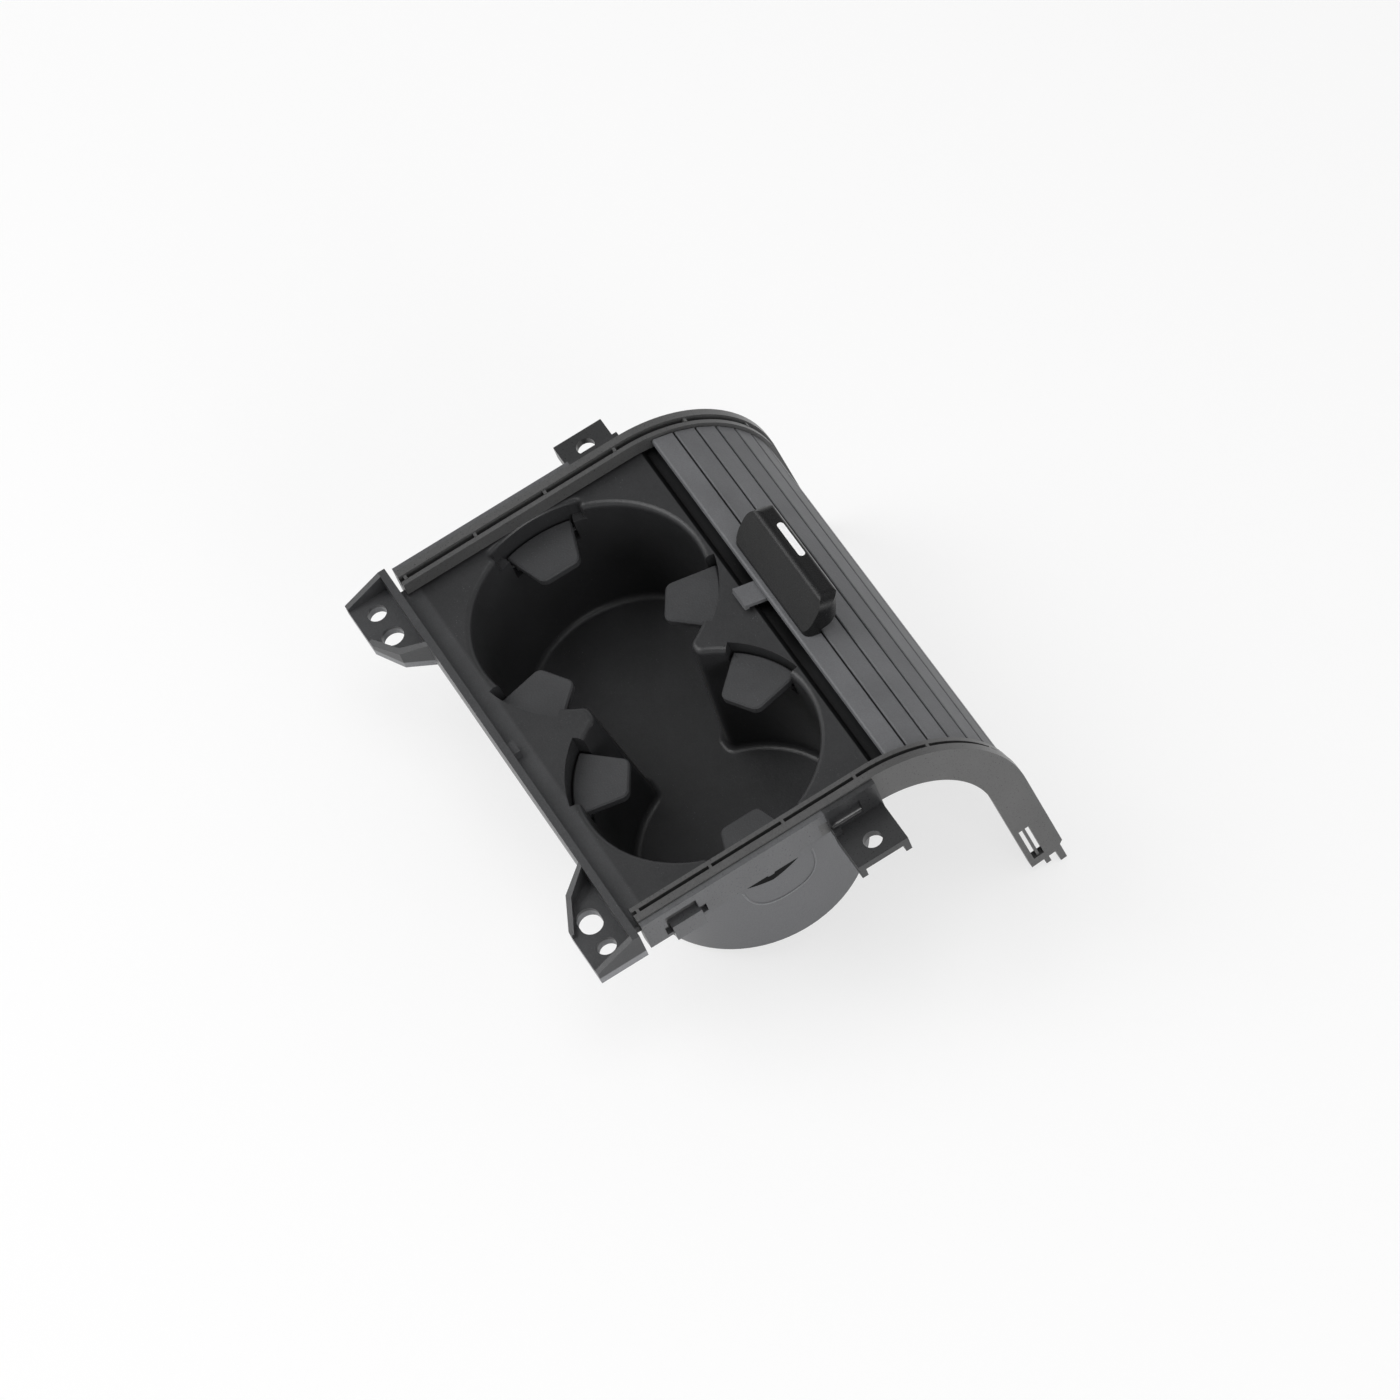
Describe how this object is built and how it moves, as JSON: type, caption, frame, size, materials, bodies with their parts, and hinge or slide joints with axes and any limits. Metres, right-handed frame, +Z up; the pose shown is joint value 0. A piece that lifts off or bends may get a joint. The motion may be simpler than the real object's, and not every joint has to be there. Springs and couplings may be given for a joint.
{
  "type": "console cup holder",
  "caption": "Black console cup holder: joined round wells with sprung cup fingers, screw brackets and ears, and a slatted shutter that slides over the wells from curved side rails.",
  "frame": {"origin": "midway between the two ear screw holes, on the ears' top faces", "axes": "+X to the right across the shutter, +Y to the back where the rails curve down, +Z up out of the wells"},
  "size_m": [0.1978, 0.144, 0.092],
  "materials": {
    "tray_plastic": "fine satin grain, black",
    "rail_plastic": "semi-gloss moulded black",
    "panel_plastic": "semi-gloss moulded black",
    "shutter_plastic": "fine grained charcoal",
    "handle_plastic": "soft satin charcoal",
    "finger_plastic": "fine grained charcoal",
    "mark_paint": "white",
    "steel": "plain drawn steel"
  },
  "bodies": {
    "frame": {"cup_tray": "tray_plastic", "guide_rail_left": "rail_plastic", "guide_rail_right": "rail_plastic", "side_panel_left": "panel_plastic", "side_panel_right": "panel_plastic", "finger_pin_right_side": "steel", "finger_pin_right_rear": "steel", "finger_pin_right_front": "steel", "finger_pin_left_side": "steel", "finger_pin_left_rear": "steel", "finger_pin_left_front": "steel", "finger_spring_right_side": "steel", "finger_spring_right_rear": "steel", "finger_spring_right_front": "steel", "finger_spring_left_side": "steel", "finger_spring_left_rear": "steel", "finger_spring_left_front": "steel"},
    "shutter_front": {"shutter_bar": "shutter_plastic", "shutter_handle": "handle_plastic", "handle_mark": "mark_paint", "shutter_catch": "shutter_plastic"},
    "slat_01": {"shutter_slat_01": "shutter_plastic"},
    "slat_02": {"shutter_slat_02": "shutter_plastic"},
    "slat_03": {"shutter_slat_03": "shutter_plastic"},
    "slat_04": {"shutter_slat_04": "shutter_plastic"},
    "slat_05": {"shutter_slat_05": "shutter_plastic"},
    "slat_06": {"shutter_slat_06": "shutter_plastic"},
    "slat_07": {"shutter_slat_07": "shutter_plastic"},
    "slat_08": {"shutter_slat_08": "shutter_plastic"},
    "slat_09": {"shutter_slat_09": "shutter_plastic"},
    "slat_10": {"shutter_slat_10": "shutter_plastic"},
    "finger_right_side": {"finger_right_side": "finger_plastic"},
    "finger_right_rear": {"finger_right_rear": "finger_plastic"},
    "finger_right_front": {"finger_right_front": "finger_plastic"},
    "finger_left_side": {"finger_left_side": "finger_plastic"},
    "finger_left_rear": {"finger_left_rear": "finger_plastic"},
    "finger_left_front": {"finger_left_front": "finger_plastic"}
  },
  "joints": [
    {"name": "shutter_roll", "type": "hinge", "parent": "frame", "child": "shutter_front", "pos_m": [0, -0.026, -0.2621], "axis": [1, 0, 0], "range_deg": [0, 16.84]},
    {"name": "slat_01_roll", "type": "hinge", "parent": "frame", "child": "slat_01", "pos_m": [0, -0.0222, -0.15792], "axis": [1, 0, 0], "range_deg": [0, 27.2]},
    {"name": "slat_02_roll", "type": "hinge", "parent": "frame", "child": "slat_02", "pos_m": [0, -0.0184, -0.11094], "axis": [1, 0, 0], "range_deg": [0, 37.52]},
    {"name": "slat_03_roll", "type": "hinge", "parent": "frame", "child": "slat_03", "pos_m": [0, -0.0146, -0.08426], "axis": [1, 0, 0], "range_deg": [0, 47.84]},
    {"name": "slat_04_roll", "type": "hinge", "parent": "frame", "child": "slat_04", "pos_m": [0, -0.0108, -0.06718], "axis": [1, 0, 0], "range_deg": [0, 58.16]},
    {"name": "slat_05_roll", "type": "hinge", "parent": "frame", "child": "slat_05", "pos_m": [0, -0.007, -0.05547], "axis": [1, 0, 0], "range_deg": [0, 68.48]},
    {"name": "slat_06_roll", "type": "hinge", "parent": "frame", "child": "slat_06", "pos_m": [0, -0.0032, -0.0471], "axis": [1, 0, 0], "range_deg": [0, 78.8]},
    {"name": "slat_07_roll", "type": "hinge", "parent": "frame", "child": "slat_07", "pos_m": [0, -0.0009, -0.04319], "axis": [1, 0, 0], "range_deg": [0, 85.05]},
    {"name": "slat_08_roll", "type": "hinge", "parent": "frame", "child": "slat_08", "pos_m": [0, -0.0009, -0.04319], "axis": [1, 0, 0], "range_deg": [0, 85.05]},
    {"name": "slat_09_roll", "type": "hinge", "parent": "frame", "child": "slat_09", "pos_m": [0, -0.00149, -0.04365], "axis": [1, 0, 0], "range_deg": [0, 83.96]},
    {"name": "slat_10_roll", "type": "hinge", "parent": "frame", "child": "slat_10", "pos_m": [0, -0.00825, -0.04805], "axis": [1, 0, 0], "range_deg": [0, 73.64]},
    {"name": "finger_right_side_pivot", "type": "hinge", "parent": "frame", "child": "finger_right_side", "pos_m": [0.0721, -0.0281, -0.0063], "axis": [0, -1, 0], "range_deg": [0, 70], "stiffness_Nm_per_rad": 0.02, "springref_deg": -20.05},
    {"name": "finger_right_rear_pivot", "type": "hinge", "parent": "frame", "child": "finger_right_rear", "pos_m": [0.01675, 0.00386, -0.0031], "axis": [0.866, 0.5, 0], "range_deg": [0, 70], "stiffness_Nm_per_rad": 0.02, "springref_deg": -20.05},
    {"name": "finger_right_front_pivot", "type": "hinge", "parent": "frame", "child": "finger_right_front", "pos_m": [0.01675, -0.06006, -0.0055], "axis": [-0.866, 0.5, 0], "range_deg": [0, 70], "stiffness_Nm_per_rad": 0.02, "springref_deg": -20.05},
    {"name": "finger_left_side_pivot", "type": "hinge", "parent": "frame", "child": "finger_left_side", "pos_m": [-0.0721, -0.0281, -0.0063], "axis": [0, 1, 0], "range_deg": [0, 70], "stiffness_Nm_per_rad": 0.02, "springref_deg": -20.05},
    {"name": "finger_left_rear_pivot", "type": "hinge", "parent": "frame", "child": "finger_left_rear", "pos_m": [-0.01675, 0.00386, -0.0031], "axis": [0.866, -0.5, 0], "range_deg": [0, 70], "stiffness_Nm_per_rad": 0.02, "springref_deg": -20.05},
    {"name": "finger_left_front_pivot", "type": "hinge", "parent": "frame", "child": "finger_left_front", "pos_m": [-0.01675, -0.06006, -0.0055], "axis": [-0.866, -0.5, 0], "range_deg": [0, 70], "stiffness_Nm_per_rad": 0.02, "springref_deg": -20.05}
  ],
  "couplings": [
    {"joint": "slat_01_roll", "follows": "shutter_roll", "ratio": 1.6129},
    {"joint": "slat_02_roll", "follows": "shutter_roll", "ratio": 2.2258},
    {"joint": "slat_03_roll", "follows": "shutter_roll", "ratio": 2.8387},
    {"joint": "slat_04_roll", "follows": "shutter_roll", "ratio": 3.4516},
    {"joint": "slat_05_roll", "follows": "shutter_roll", "ratio": 4.0645},
    {"joint": "slat_06_roll", "follows": "shutter_roll", "ratio": 4.6774},
    {"joint": "slat_07_roll", "follows": "shutter_roll", "ratio": 5.0488},
    {"joint": "slat_08_roll", "follows": "shutter_roll", "ratio": 5.0488},
    {"joint": "slat_09_roll", "follows": "shutter_roll", "ratio": 4.9843},
    {"joint": "slat_10_roll", "follows": "shutter_roll", "ratio": 4.3714}
  ]
}
